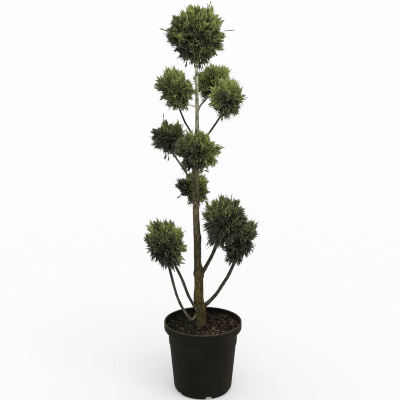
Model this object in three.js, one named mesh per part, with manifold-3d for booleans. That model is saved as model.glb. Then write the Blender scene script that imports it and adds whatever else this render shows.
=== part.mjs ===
// A Leyland cypress trained as a pompon topiary, standing in a round black nursery pot.
// Millimetres, +Z up, +X to the right and +Y to the back. The origin is the centre of the pot's underside.

import * as THREE from "three";
import { mergeVertices } from "three/addons/utils/BufferGeometryUtils.js";
import Module from "manifold-3d";

const wasm = await Module();
wasm.setup();

// Clearance that touching solids keep.
const GAP = 0.3;

// Pot: a tapering wall, a neck, a wide collar with a rolled lip, and five feet between drain notches.
const POT = {
  height: 287,
  collarRadius: 153,
  collarHeight: 30,
  neckRadius: 136,
  neckFoot: 206,
  bodyTopRadius: 131.5,
  bodyFootRadius: 114,
  chamfer: 14,
  footRadius: 104,
  wall: 3,
  floor: 4,
  lipRoll: 3.5,
  segments: 36,
};
const NOTCH = { count: 5, width: 26, height: 12, reach: 14, firstAzimuth: -77 };

// Potting mix: its level, the flat patch that the trunk stands on, and the height of its lumps.
const SOIL = { level: 267, patchRadius: 27, lumps: 3.5, rings: [84] };

// Trunk: height, offset to the right, offset to the back, and diameter at each station.
const TRUNK = [
  [267, -9, 10, 42],
  [277, -9, 10, 38.5],
  [300, -8.5, 10, 38],
  [320, -8.5, 10, 39],
  [336, -10.5, 10, 39.5],
  [350, -14, 10, 40.5],
  [367, -16.5, 10, 40],
  [385, -17.5, 10, 38.5],
  [410, -16, 10, 36],
  [440, -16, 10, 34],
  [470, -17, 10, 33.5],
  [500, -19, 10, 31],
  [530, -20.5, 10, 28],
  [592, -21.5, 11, 28.4],
  [625, -22, 11, 28],
  [656, -24, 11, 25.8],
  [710, -26.5, 12, 24.6],
  [740, -27, 12, 23.5],
  [775, -30, 12, 18.5],
  [815, -33, 12, 15.8],
  [872, -34.5, 12, 15],
  [950, -29.5, 12, 14.5],
  [1043, -23, 11, 14],
  [1125, -22.5, 9, 13],
  [1192, -23, 7, 11.8],
  [1265, -24.5, 4, 10.4],
  [1316, -26, 2, 9],
];
const TRUNK_SIDES = 10;
const TRUNK_STEP = 34;

// Branch collars and old pruning knots on the trunk: height, azimuth in degrees (0 is right, -90 is
// front), how far each stands out, and its half-length.
const KNOTS = [
  [469, -8, 5, 9],
  [478, 178, 5.5, 9],
  [500, 6, 4, 8],
  [622, -5, 2, 14],
  [690, 80, 4, 14],
  [764, -75, 4, 15],
  [868, 160, 3, 11],
  [972, -25, 3, 12],
  [1002, 195, 3, 12],
  [1047, 0, 2.5, 7],
  [1118, 35, 2.5, 10],
];

// Boughs. Each leaves the trunk's axis at a height, passes its bends, and tapers to its tip,
// where the bough's pompon takes over. Diameters are those at the trunk and at the tip.
const BOUGHS = [
  {
    name: "bough_lower_left_outer",
    height: 322,
    bends: [[-24, 6, 309], [-42, 1, 291], [-54, 0, 300], [-80, 0, 339], [-102, -1, 392], [-118, -5, 455]],
    tip: [-134, -8, 525],
    diameters: [9.8, 10.6],
  },
  {
    name: "bough_lower_left_inner",
    height: 318,
    bends: [[-22, -7, 331], [-34, -8, 351], [-55, -3, 388], [-81, -5, 459]],
    tip: [-109, -8, 522],
    diameters: [11.6, 10.6],
  },
  {
    name: "bough_lower_right_back",
    height: 334,
    bends: [[22, 15, 358], [52, 26, 387], [77, 40, 421], [100, 52, 455]],
    tip: [125, 67, 506],
    diameters: [14, 12.8],
  },
  {
    name: "bough_lower_right_front",
    height: 458,
    bends: [[-1, 4, 486], [21, -5, 529], [39, -13, 569]],
    tip: [54, -21, 612],
    diameters: [14.4, 13.6],
  },
  {
    name: "bough_middle_back",
    height: 668,
    bends: [[-27, 32, 700]],
    tip: [-36, 66, 748],
    diameters: [9.5, 7.5],
  },
  {
    name: "bough_middle_front",
    height: 740,
    bends: [[-20, -2, 780], [-19, -14, 831], [-23, -32, 884]],
    tip: [-24, -54, 920],
    diameters: [8.5, 6.5],
  },
  {
    name: "bough_middle_left",
    height: 842,
    bends: [[-54, 17, 863], [-86, 31, 907]],
    tip: [-118, 43, 952],
    diameters: [8, 6.5],
  },
  {
    name: "bough_upper_left",
    height: 984,
    bends: [[-46, 4, 1035], [-68, 0, 1074]],
    tip: [-90, -5, 1130],
    diameters: [7.5, 6.2],
  },
  {
    name: "bough_upper_right_front",
    height: 958,
    bends: [[7, -4, 1010], [37, -18, 1055]],
    tip: [69, -31, 1106],
    diameters: [8, 6.8],
  },
  {
    name: "bough_upper_right_back",
    height: 1104,
    bends: [[-12, 16, 1128]],
    tip: [28, 42, 1170],
    diameters: [7.5, 6],
  },
  {
    name: "twig_upper_left",
    height: 1176,
    bends: [[-34, 5, 1182]],
    tip: [-45, 2, 1184],
    diameters: [6.5, 5],
  },
];
const BOUGH_SIDES = 6;
const BOUGH_STEP = 26;
const COLLAR_SWELL = 0.35;

// Pompons: the limbs whose tips carry each clipped ball, its centre, its half-width, half-depth and
// half-height, how far its axis leans to the right and to the back in degrees, the share by which it is
// narrower towards its stem, and its count of sprays. Its bumps are the uneven places round its edge as
// seen from the front: an angle from the right and up, how far it stands out, and how wide it spreads.
const POMPONS = [
  {
    name: "pompon_top",
    stems: ["trunk"],
    centre: [-24, 0, 1382],
    half: [101, 99, 114],
    lean: [-9, 0],
    taper: 0.36,
    bumps: [
      [20, -7, 9], [40, 3, 8], [65, 13, 10], [117, -10, 10], [138, 8, 9], [168, 11, 11], [191, -6, 12],
      [250, -10, 15], [290, -16, 13], [325, -9, 10], [341, 8, 14],
    ],
    sprays: 66,
  },
  {
    name: "pompon_upper_left",
    stems: ["bough_upper_left"],
    centre: [-96, -10, 1195],
    half: [61, 61, 78],
    lean: [-34, 0],
    taper: 0.02,
    bumps: [
      [30, -8, 14], [50, -8, 12], [165, 17, 12], [194, -9, 9], [225, -9, 9], [262, 11, 16],
      [298, 14, 8], [315, -17, 8], [342, -9, 9],
    ],
    sprays: 36,
  },
  {
    name: "pompon_upper_right_back",
    stems: ["bough_upper_right_back"],
    centre: [33, 78, 1213],
    half: [66, 57, 68],
    lean: [17, 12],
    taper: 0.15,
    bumps: [[48, 8, 14], [76, 3, 9], [98, -11, 10], [122, -11, 18], [178, -6, 9], [220, 4, 10]],
    sprays: 32,
  },
  {
    name: "pompon_upper_right_front",
    stems: ["bough_upper_right_front"],
    centre: [88, -45, 1165],
    half: [61, 61, 69],
    lean: [6, -5],
    taper: 0.21,
    bumps: [
      [18, -7, 15], [47, 8, 12], [82, 7, 9], [187, -11, 9], [208, 7, 8], [238, -10, 9], [254, 11, 12],
      [318, 6, 14], [347, -4, 9],
    ],
    sprays: 34,
  },
  {
    name: "pompon_middle_left",
    stems: ["bough_middle_left"],
    centre: [-124, 50, 1004],
    half: [67, 57, 62],
    lean: [0, 6],
    taper: 0.24,
    bumps: [[15, -19, 14], [64, 4, 9], [90, -6, 9], [113, 17, 11], [150, 8, 10], [207, 3, 9], [248, 12, 9]],
    sprays: 34,
  },
  {
    name: "pompon_middle_front",
    stems: ["bough_middle_front"],
    centre: [-25, -88, 977],
    half: [79, 75, 75],
    lean: [0, -8],
    taper: 0.25,
    bumps: [
      [5, 8, 20], [40, -8, 9], [60, 6, 11], [92, -9, 20], [128, 3, 9], [200, -10, 13], [244, 10, 9],
      [290, 9, 9], [324, 7, 10],
    ],
    sprays: 42,
  },
  {
    name: "pompon_middle_back",
    stems: ["bough_middle_back"],
    centre: [-35, 92, 799],
    half: [59, 60, 70],
    lean: [-24, 8],
    taper: 0.34,
    bumps: [
      [2, -12, 14], [28, 13, 9], [122, -8, 10], [150, 9, 14], [167, 10, 9], [187, -7, 8],
      [225, -15, 13], [251, 11, 9], [332, 5, 9],
    ],
    sprays: 32,
  },
  {
    name: "pompon_lower_right_front",
    stems: ["bough_lower_right_front"],
    centre: [79, -32, 698],
    half: [83, 72, 98],
    lean: [16, -5],
    taper: 0.3,
    bumps: [[14, 4, 9], [40, -5, 13], [70, 20, 10], [114, 5, 9], [136, 6, 9], [183, -16, 20], [236, 17, 9]],
    sprays: 46,
  },
  {
    name: "pompon_lower_right_back",
    stems: ["bough_lower_right_back"],
    centre: [145, 92, 586],
    half: [58, 60, 94],
    lean: [20, 8],
    taper: 0.14,
    bumps: [
      [4, -20, 9], [36, 16, 10], [60, -3, 9], [216, 4, 9], [262, 12, 16], [304, -8, 10], [328, -4, 9],
    ],
    sprays: 38,
  },
  {
    name: "pompon_lower_left",
    stems: ["bough_lower_left_outer", "bough_lower_left_inner"],
    centre: [-142, -10, 601],
    half: [73, 72, 99],
    lean: [-24, 0],
    taper: 0.25,
    bumps: [
      [12, -10, 10], [79, 8, 11], [134, 4, 13], [165, 8, 10], [206, -6, 10], [249, -7, 9], [290, 8, 9],
      [318, -5, 15], [352, 9, 9],
    ],
    sprays: 44,
  },
];
const CORE_SHARE = 0.82; // the core's size, as a share of the ball's
const WIDE_BALL = 80; // half-width from which a core gets finer faces
const LUMP_SHARE = 0.04; // unevenness of the clipping on the front and the back
const FIRST_SEED = 101;
const OWN_SPACE = 1.08; // the space that a ball keeps for itself, as a share of its outline
// Sprays: where they are rooted and how far they reach as shares of the outline, their width and
// thickness as shares of their length, and how far the root sways. One in so many is a stray shoot.
const SPRAY = { root: 0.66, reach: [1.0, 1.16], width: [0.75, 1.05], thickness: 0.13, sway: 0.34 };
const STRAY = { every: 15, reach: [1.16, 1.26], width: [0.34, 0.4] };
const STEM = { reach: 0.65, overlap: 3, taper: 0.4, sides: 6 };

// The toothed outline of a flat spray: share of its width across, and of its length along.
const TOOTHED = [
  [0, 0],
  [0.5, 0.52],
  [0.2, 0.62],
  [0.08, 1],
  [-0.36, 0.8],
  [-0.2, 0.56],
  [-0.46, 0.4],
];

const BARK = { color: 0x6b5a45, roughness: 0.9, metalness: 0 };
const FOLIAGE = { color: 0x46552c, roughness: 0.85, metalness: 0 };
const PLASTIC = { color: 0x1c1b19, roughness: 0.45, metalness: 0 };
const MIX = { color: 0x3a2a20, roughness: 1, metalness: 0 };

const radians = THREE.MathUtils.degToRad;

// A seeded series of numbers from 0 to 1 (mulberry32).
function seeded(seed) {
  let state = seed;
  return () => {
    state = (state + 0x6d2b79f5) | 0;
    let t = Math.imul(state ^ (state >>> 15), 1 | state);
    t = (t + Math.imul(t ^ (t >>> 7), 61 | t)) ^ t;
    return ((t ^ (t >>> 14)) >>> 0) / 4294967296;
  };
}

// Closed geometry to solid and back.
function solidOf(geometry) {
  const bare = geometry.clone();
  bare.deleteAttribute("normal");
  bare.deleteAttribute("uv");
  const merged = mergeVertices(bare, 1e-4);
  return new wasm.Manifold(
    new wasm.Mesh({
      numProp: 3,
      vertProperties: new Float32Array(merged.attributes.position.array),
      triVerts: new Uint32Array(merged.index.array),
    }),
  );
}

function geometryOf(solid) {
  const mesh = solid.getMesh();
  return new THREE.BufferGeometry()
    .setAttribute("position", new THREE.BufferAttribute(mesh.vertProperties, 3))
    .setIndex(new THREE.BufferAttribute(mesh.triVerts, 1));
}

function largestBody(solid) {
  const bodies = solid.decompose();
  return bodies.reduce((a, b) => (b.volume() > a.volume() ? b : a));
}

// A closed skin over rings of points that all have the same count, ordered from bottom to top.
function skin(rings) {
  const sides = rings[0].length;
  const middle = (ring) => ring.reduce((sum, p) => sum.add(p), new THREE.Vector3()).divideScalar(sides);
  const points = [...rings.flat(), middle(rings[0]), middle(rings.at(-1))];
  const bottom = points.length - 2;
  const top = points.length - 1;
  const last = (rings.length - 1) * sides;
  const faces = [];
  for (let i = 0; i < sides; i++) {
    const j = (i + 1) % sides;
    faces.push(bottom, j, i, top, last + i, last + j);
    for (let level = 0; level < last; level += sides)
      faces.push(level + i, level + j, level + sides + j, level + i, level + sides + j, level + sides + i);
  }
  return new THREE.BufferGeometry().setFromPoints(points).setIndex(faces);
}

// A limb along a curve, round and tapering; radiusAt gives its radius for a share of its length.
function limb(curve, stations, sides, radiusAt) {
  const frames = curve.computeFrenetFrames(stations);
  const rings = [];
  for (let k = 0; k <= stations; k++) {
    const share = k / stations;
    const centre = curve.getPointAt(share);
    const ring = [];
    for (let i = 0; i < sides; i++) {
      const angle = (2 * Math.PI * i) / sides;
      ring.push(
        centre
          .clone()
          .addScaledVector(frames.normals[k], Math.cos(angle) * radiusAt(share))
          .addScaledVector(frames.binormals[k], Math.sin(angle) * radiusAt(share)),
      );
    }
    rings.push(ring);
  }
  return skin(rings);
}

// The pot's outline, from the middle of its underside up the outside and down the inside.
function potProfile() {
  const { height, collarRadius, collarHeight, neckRadius, neckFoot, bodyTopRadius, bodyFootRadius } = POT;
  const { chamfer, footRadius, wall, floor, lipRoll } = POT;
  const collarFoot = height - collarHeight;
  return [
    [0, 0],
    [footRadius, 0],
    [footRadius + 4, 4],
    [bodyFootRadius, chamfer],
    [bodyTopRadius, neckFoot - 10],
    [neckRadius - 1, neckFoot],
    [neckRadius, collarFoot - 14],
    [collarRadius - 4, collarFoot - 4],
    [collarRadius, collarFoot + 3],
    [collarRadius, height - lipRoll],
    [collarRadius - lipRoll / 2, height],
    [collarRadius - lipRoll - 1, height],
    [collarRadius - wall - lipRoll, height - lipRoll],
    [collarRadius - wall - 1, height - 3 * lipRoll],
    [collarRadius - wall - 2, collarFoot + 2],
    [neckRadius - wall, collarFoot - 11],
    [neckRadius - wall - 1, neckFoot + 2],
    [bodyTopRadius - wall, neckFoot - 8],
    [bodyFootRadius - wall, chamfer + 1],
    [footRadius - 2, floor],
    [0, floor],
  ];
}

// A solid of revolution round +Z, from a profile of radius and height.
function turned(profile, segments) {
  const points = profile.map(([radius, height]) => new THREE.Vector2(radius, height));
  return new THREE.LatheGeometry(points, segments).rotateX(Math.PI / 2);
}

function pot() {
  let made = solidOf(turned(potProfile(), POT.segments));
  for (let i = 0; i < NOTCH.count; i++) {
    const length = 3 * NOTCH.reach;
    const box = new THREE.BoxGeometry(length, NOTCH.width, 2 * NOTCH.height)
      .translate(POT.footRadius - NOTCH.reach + length / 2, 0, 0)
      .rotateZ(radians(NOTCH.firstAzimuth + (360 / NOTCH.count) * i));
    made = made.subtract(solidOf(box));
  }
  return made;
}

// Height of the potting mix: uneven, and a little higher round the trunk.
function soilHeight(x, y) {
  const [, trunkX, trunkY] = TRUNK[0];
  const away = Math.hypot(x - trunkX, y - trunkY) - SOIL.patchRadius;
  if (away <= 0) return SOIL.level - GAP;
  const lumps = Math.sin(x * 0.061 + 1.3) * Math.cos(y * 0.055) + 0.6 * Math.sin(x * 0.13 + y * 0.11);
  return SOIL.level - GAP - 1 + SOIL.lumps * lumps * Math.min(1, away / 30);
}

// The potting mix fills the pot: rings up its side, then rings across its uneven top.
function soil() {
  const inside = potProfile().slice(14, 20);
  const levels = inside
    .reverse()
    .map(([radius, height]) => [radius - GAP - 0.2, height + GAP]);
  const rim = levels.at(-1)[0];
  const ringAt = (radius, heightAt, x = 0, y = 0) =>
    Array.from({ length: POT.segments }, (_, i) => {
      const angle = (2 * Math.PI * i) / POT.segments;
      const point = new THREE.Vector3(x + radius * Math.cos(angle), y + radius * Math.sin(angle), 0);
      return point.setZ(heightAt(point.x, point.y));
    });
  const [, trunkX, trunkY] = TRUNK[0];
  const side = levels.map(([radius, height]) => ringAt(radius, () => height));
  const across = [rim, ...[...SOIL.rings].reverse()].map((radius) => ringAt(radius, soilHeight));
  const patch = ringAt(SOIL.patchRadius, soilHeight, trunkX, trunkY);
  return skin([...side, ...across, patch]);
}

// Smooth interpolation of the trunk's stations at a height: its axis point and its radius.
const trunkAxis = new THREE.CatmullRomCurve3(TRUNK.map(([z, x, y]) => new THREE.Vector3(x, y, z)));
function trunkAt(height) {
  const last = TRUNK.length - 1;
  const above = TRUNK.findIndex(([z]) => z >= height);
  const index = above < 0 ? last - 1 : Math.max(0, above - 1);
  const [low, high] = [TRUNK[index], TRUNK[index + 1]];
  const share = THREE.MathUtils.clamp((height - low[0]) / (high[0] - low[0]), 0, 1);
  const point = trunkAxis.getPoint((index + share) / last).setZ(height);
  return { point, radius: THREE.MathUtils.lerp(low[3], high[3], share) / 2 };
}

// How far the knots swell the trunk at a height and an angle.
function knotSwell(height, angle) {
  return KNOTS.reduce((sum, [z, azimuth, rise, half]) => {
    const turn = Math.cos(angle - radians(azimuth));
    const along = (height - z) / half;
    return sum + (turn > 0 ? rise * turn ** 6 * Math.exp(-along * along) : 0);
  }, 0);
}

// The trunk is built of level rings, so that its foot is a flat cut. Heights near each knot are added.
function trunk(extra = 0) {
  const [foot, top] = [TRUNK[0][0], TRUNK.at(-1)[0]];
  const steps = Math.round((top - foot) / TRUNK_STEP);
  const even = Array.from({ length: steps }, (_, i) => foot + (i * (top - foot)) / steps);
  const heights = [...even, ...KNOTS.map(([z]) => z), top]
    .sort((a, b) => a - b)
    .filter((z, i, all) => i === 0 || z - all[i - 1] > TRUNK_STEP / 5);
  const rings = heights.map((height) => {
    const { point, radius } = trunkAt(height);
    const level = height === foot ? height - extra : height === top ? height + extra : height;
    return Array.from({ length: TRUNK_SIDES }, (_, i) => {
      const angle = (2 * Math.PI * i) / TRUNK_SIDES;
      const reach = radius + extra + knotSwell(height, angle);
      return new THREE.Vector3(point.x + reach * Math.cos(angle), point.y + reach * Math.sin(angle), level);
    });
  });
  return solidOf(skin(rings));
}

// A bough's curve, from the trunk's axis over its bends to its tip.
function boughCurve({ height, bends, tip }) {
  const points = [trunkAt(height).point, ...[...bends, tip].map((p) => new THREE.Vector3(...p))];
  return new THREE.CatmullRomCurve3(points, false, "centripetal");
}

// A bough swells into a collar at the trunk. extra widens and lengthens it, to cut others clear of it.
function bough(spec, extra = 0) {
  const curve = boughCurve(spec);
  const length = curve.getLength();
  const [atTrunk, atTip] = spec.diameters;
  const radiusAt = (share) => {
    const collar = COLLAR_SWELL * Math.exp(-(((share * length) / (2.6 * atTrunk)) ** 2));
    return (THREE.MathUtils.lerp(atTrunk, atTip, share) / 2) * (1 + collar) + extra;
  };
  const stations = Math.max(3, Math.round(length / BOUGH_STEP));
  const made = solidOf(limb(curve, stations, BOUGH_SIDES, radiusAt));
  if (!extra) return made;
  const cap = new THREE.SphereGeometry(radiusAt(1), 8, 6).translate(...curve.getPointAt(1).toArray());
  return made.add(solidOf(cap));
}

// The frame of a pompon: turns its own axis, which is +Z, to where it leans.
function pomponTurn({ lean }) {
  return new THREE.Quaternion().setFromEuler(new THREE.Euler(-radians(lean[1]), radians(lean[0]), 0, "YXZ"));
}

// How far a pompon's bumps lift its outline where it faces a direction. They are ridges from front to
// back, which fade towards both.
function bumpAt({ bumps }, facing) {
  const angle = THREE.MathUtils.radToDeg(Math.atan2(facing.z, facing.x));
  const fade = (1 - facing.y * facing.y) ** 2;
  return bumps.reduce((sum, [middle, rise, spread]) => {
    const away = THREE.MathUtils.euclideanModulo(angle - middle + 180, 360) - 180;
    return sum + rise * fade * Math.exp(-((away / spread) ** 2));
  }, 0);
}

// A point of a pompon's clipped outline, in its own frame, for a direction: an uneven ellipsoid that
// narrows towards its stem.
function outline(spec, direction) {
  const { half, phase, taper, turn } = spec;
  const { x, y, z } = direction;
  const lump = Math.sin(3 * x + phase) * Math.cos(4 * y - phase) + Math.sin(5 * z + 2 * phase + 2 * x);
  const narrow = 1 - taper * Math.max(0, -z) ** 1.4;
  const point = new THREE.Vector3(x * half[0] * narrow, y * half[1] * narrow, z * half[2]);
  point.multiplyScalar(1 + LUMP_SHARE * lump * Math.abs(y));
  const facing = point.clone().applyQuaternion(turn).normalize();
  return point.setLength(point.length() + bumpAt(spec, facing));
}

// True where a point lies in the space that a pompon keeps for itself.
function inside(spec, point) {
  const own = point
    .clone()
    .sub(new THREE.Vector3(...spec.centre))
    .applyQuaternion(spec.turn.clone().invert());
  return own.length() < outline(spec, own.clone().normalize()).length() * OWN_SPACE;
}

function cornersOf(geometry) {
  const points = geometry.attributes.position;
  return Array.from({ length: points.count }, (_, i) => new THREE.Vector3().fromBufferAttribute(points, i));
}

// A flat toothed spray of scale leaves: its outline, and a ridge on either face.
function sprayGeometry(length, width, thickness) {
  const edge = TOOTHED.map(([across, along]) => new THREE.Vector3(across * width, 0, along * length));
  const ridge = [0.5, -0.5].map((side) => new THREE.Vector3(0, side * thickness, 0.55 * length));
  const count = edge.length;
  const faces = edge.flatMap((_, i) => [i, (i + 1) % count, count + 1, (i + 1) % count, i, count]);
  return new THREE.BufferGeometry().setFromPoints([...edge, ...ridge]).setIndex(faces);
}

// Directions spread evenly over a ball, then jittered.
function spread(count, random) {
  const golden = Math.PI * (3 - Math.sqrt(5));
  return Array.from({ length: count }, (_, i) => {
    const z = 1 - (2 * (i + 0.5)) / count;
    const angle = golden * i + (random() - 0.5) * 0.5;
    const round = Math.sqrt(1 - z * z);
    const jittered = z + (random() - 0.5) * 0.08;
    return new THREE.Vector3(round * Math.cos(angle), round * Math.sin(angle), jittered).normalize();
  });
}

// The sprays of a pompon: each is rooted in the core and stands out of it to the clipped outline.
// One that would touch a limb or enter another pompon's space is left out.
function sprays(spec, limbs, others) {
  const random = seeded(spec.seed);
  const centre = new THREE.Vector3(...spec.centre);
  const made = [];
  for (const [i, direction] of spread(spec.sprays, random).entries()) {
    const kind = i % STRAY.every === STRAY.every >> 1 ? STRAY : SPRAY;
    const tip = outline(spec, direction).multiplyScalar(THREE.MathUtils.lerp(...kind.reach, random()));
    const root = outline(spec, direction).multiplyScalar(SPRAY.root);
    const sway = new THREE.Vector3(random() - 0.5, random() - 0.5, random() - 0.2);
    root.addScaledVector(sway, -SPRAY.sway * tip.distanceTo(root));
    const roll = 2 * Math.PI * random();
    const along = tip.clone().sub(root);
    const length = along.length();
    const turn = new THREE.Quaternion()
      .setFromUnitVectors(new THREE.Vector3(0, 0, 1), along.normalize())
      .multiply(new THREE.Quaternion().setFromAxisAngle(new THREE.Vector3(0, 0, 1), roll));
    const placed = new THREE.Matrix4()
      .compose(centre, spec.turn, new THREE.Vector3(1, 1, 1))
      .multiply(new THREE.Matrix4().compose(root, turn, new THREE.Vector3(1, 1, 1)));
    const width = THREE.MathUtils.lerp(...kind.width, random()) * length;
    const geometry = sprayGeometry(length, width, SPRAY.thickness * length).applyMatrix4(placed);
    if (cornersOf(geometry).some((corner) => others.some((other) => inside(other, corner)))) continue;
    const blade = solidOf(geometry);
    if (limbs.intersect(blade).volume() > 0) continue;
    made.push(blade);
  }
  return made;
}

// The core: a coarse ball of the outline's shape, inside the sprays.
function core(spec) {
  const geometry = new THREE.IcosahedronGeometry(1, spec.half[0] > WIDE_BALL ? 2 : 1);
  const shaped = cornersOf(geometry).map((corner) => outline(spec, corner).multiplyScalar(CORE_SHARE));
  geometry.setFromPoints(shaped);
  return solidOf(geometry.applyQuaternion(spec.turn).translate(...spec.centre));
}

// A stem grows on from a bough's tip, or the trunk's, into the core. It starts a little inside the
// tip, and is then cut clear of it.
function stem(centre, carrierName) {
  const carrier = BOUGHS.find(({ name }) => name === carrierName);
  const start = carrier ? new THREE.Vector3(...carrier.tip) : trunkAt(TRUNK.at(-1)[0]).point;
  const radius = (carrier ? carrier.diameters[1] : TRUNK.at(-1)[3]) / 2;
  const end = start.clone().lerp(centre, STEM.reach);
  const lead = start.clone().add(start.clone().sub(end).setLength(STEM.overlap));
  const radiusAt = (share) => radius * (1 - STEM.taper * share);
  return solidOf(limb(new THREE.LineCurve3(lead, end), 1, STEM.sides, radiusAt));
}

function pompon(spec, limbs, others) {
  const stems = spec.stems.map((name) => stem(new THREE.Vector3(...spec.centre), name));
  const whole = [core(spec), ...stems, ...sprays(spec, limbs, others)].reduce((a, b) => a.add(b));
  return largestBody(whole.subtract(limbs));
}

function part() {
  const group = new THREE.Group();
  const place = (name, geometry, look) => {
    const mesh = new THREE.Mesh(geometry, new THREE.MeshStandardMaterial(look));
    mesh.name = name;
    group.add(mesh);
  };
  place("pot", geometryOf(pot()), PLASTIC);
  place("soil", geometryOf(solidOf(soil())), MIX);
  place("trunk", geometryOf(trunk()), BARK);

  const nearTrunk = trunk(GAP);
  for (const spec of BOUGHS) {
    const made = largestBody(bough(spec).subtract(nearTrunk));
    place(spec.name, geometryOf(made), BARK);
  }

  const limbs = BOUGHS.map((spec) => bough(spec, GAP)).reduce((a, b) => a.add(b), nearTrunk);
  const specs = POMPONS.map((spec, i) => {
    return { ...spec, turn: pomponTurn(spec), phase: 1.7 * i, seed: FIRST_SEED + i };
  });
  for (const spec of specs) {
    const others = specs.filter((other) => other !== spec);
    place(spec.name, geometryOf(pompon(spec, limbs, others)), FOLIAGE);
  }
  return group;
}

export default part();
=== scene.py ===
# The looks of a Leyland cypress pompon topiary in a round black nursery pot. Metres, +Z up, +Y to the back.

import math
from itertools import product
from types import SimpleNamespace as Settings

import bmesh
import bpy
import numpy as np
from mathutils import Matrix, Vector, noise


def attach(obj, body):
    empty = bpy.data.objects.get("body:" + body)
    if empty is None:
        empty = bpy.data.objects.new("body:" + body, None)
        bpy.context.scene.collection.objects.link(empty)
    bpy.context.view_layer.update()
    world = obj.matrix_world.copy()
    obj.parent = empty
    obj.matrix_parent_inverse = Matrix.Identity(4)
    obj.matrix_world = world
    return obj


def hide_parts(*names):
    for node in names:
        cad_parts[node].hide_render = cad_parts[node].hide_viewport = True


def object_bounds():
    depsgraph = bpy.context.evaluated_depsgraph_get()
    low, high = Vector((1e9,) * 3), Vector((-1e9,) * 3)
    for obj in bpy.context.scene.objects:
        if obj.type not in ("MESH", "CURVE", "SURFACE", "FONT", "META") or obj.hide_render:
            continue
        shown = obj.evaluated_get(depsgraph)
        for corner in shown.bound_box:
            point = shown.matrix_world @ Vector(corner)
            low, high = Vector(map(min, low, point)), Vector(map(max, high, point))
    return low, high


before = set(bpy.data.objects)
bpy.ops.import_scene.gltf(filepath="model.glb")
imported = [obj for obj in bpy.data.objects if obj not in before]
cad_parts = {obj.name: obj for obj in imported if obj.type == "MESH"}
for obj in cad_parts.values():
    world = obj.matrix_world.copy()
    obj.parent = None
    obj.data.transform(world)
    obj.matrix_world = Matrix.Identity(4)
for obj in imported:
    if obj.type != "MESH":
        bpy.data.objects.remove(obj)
CAD_BOX = [list(corner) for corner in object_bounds()]
scene = bpy.context.scene

# The photograph's view: where the camera stands, how far it looks down, and its focal length in pixels.
CAMERA = Settings(place=(-0.0114, -3.0, 1.5), down=13.59, focal=813.3, image=400, sensor=36.0)

# Pot, as in the solids: radii and heights of a tapering wall, a neck, and a collar with a rolled lip.
POT = Settings(
    height=0.287, collar=0.153, collar_height=0.030, neck=0.136, neck_foot=0.206, body_top=0.1315,
    body_foot=0.114, chamfer=0.014, foot=0.104, wall=0.003, floor=0.004, lip=0.0035, segments=180,
)

# Drain notches round the pot's foot; reach is how far in from the foot's edge they are cut.
NOTCH = Settings(count=5, width=0.026, height=0.015, reach=0.028, first=-77.0)

# Stains down the pot's wall: each grows from one offset to the right to another, in its own tint.
STAINS = [((0.06, 0.14), (0.015, 0.0085, 0.0035)), ((-0.06, -0.14), (0.0055, 0.0050, 0.0020))]

# Potting mix: its level, the height of its lumps, the flat patch round the trunk, and how low its side
# and its underside lie.
SOIL = Settings(level=0.267, lumps=0.0035, patch=0.027, side=0.262, underside=0.236, rings=84, segments=168)

# Bark over the mix, flakes and then crumbs: how many, the span of their lengths, how wide and how thick
# they are as a share of their length, and how far they tilt. Then the circle that they are strewn in.
CHIPS = [
    Settings(count=3000, sizes=(0.006, 0.017), slimness=0.45, flatness=0.16, tilt=0.45),
    Settings(count=3600, sizes=(0.0022, 0.0048), slimness=0.8, flatness=0.6, tilt=0.9),
]
CHIP_RADIUS = 0.1435

# Trunk: height, offset to the right, offset to the back, and diameter at each station.
TRUNK = [
    (0.267, -0.0090, 0.010, 0.0420),
    (0.277, -0.0090, 0.010, 0.0385),
    (0.300, -0.0085, 0.010, 0.0380),
    (0.320, -0.0085, 0.010, 0.0390),
    (0.336, -0.0105, 0.010, 0.0395),
    (0.350, -0.0140, 0.010, 0.0405),
    (0.367, -0.0165, 0.010, 0.0400),
    (0.385, -0.0175, 0.010, 0.0385),
    (0.410, -0.0160, 0.010, 0.0360),
    (0.440, -0.0160, 0.010, 0.0340),
    (0.470, -0.0170, 0.010, 0.0335),
    (0.500, -0.0190, 0.010, 0.0310),
    (0.530, -0.0205, 0.010, 0.0280),
    (0.592, -0.0215, 0.011, 0.0284),
    (0.625, -0.0220, 0.011, 0.0280),
    (0.656, -0.0240, 0.011, 0.0258),
    (0.710, -0.0265, 0.012, 0.0246),
    (0.740, -0.0270, 0.012, 0.0235),
    (0.775, -0.0300, 0.012, 0.0185),
    (0.815, -0.0330, 0.012, 0.0158),
    (0.872, -0.0345, 0.012, 0.0150),
    (0.950, -0.0295, 0.012, 0.0145),
    (1.043, -0.0230, 0.011, 0.0140),
    (1.125, -0.0225, 0.009, 0.0130),
    (1.192, -0.0230, 0.007, 0.0118),
    (1.265, -0.0245, 0.004, 0.0104),
    (1.316, -0.0260, 0.002, 0.0090),
]

# Branch collars and old pruning scars on the trunk: height, azimuth in degrees (0 is right, -90 is
# front), how far each stands out, its half-length, and how deep its dark middle is sunk.
KNOTS = [
    (0.361, -92, 0.0016, 0.008, 0.0030),
    (0.469, -8, 0.0050, 0.009, 0.0),
    (0.478, 178, 0.0055, 0.009, 0.0030),
    (0.500, 6, 0.0040, 0.008, 0.0022),
    (0.544, -100, 0.0014, 0.006, 0.0024),
    (0.622, -5, 0.0020, 0.014, 0.0),
    (0.690, 80, 0.0040, 0.014, 0.0),
    (0.764, -75, 0.0040, 0.015, 0.0),
    (0.868, 160, 0.0030, 0.011, 0.0),
    (0.972, -25, 0.0030, 0.012, 0.0),
    (1.002, 195, 0.0030, 0.012, 0.0),
    (1.047, 0, 0.0025, 0.007, 0.0020),
    (1.118, 35, 0.0025, 0.010, 0.0),
]

# Short dead spurs left on the trunk: height, azimuth, length and diameter.
SPURS = [
    (1.172, -30, 0.012, 0.0022),
    (1.126, 195, 0.019, 0.0013),
    (0.905, 30, 0.007, 0.0020),
    (0.640, -150, 0.006, 0.0022),
]

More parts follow.
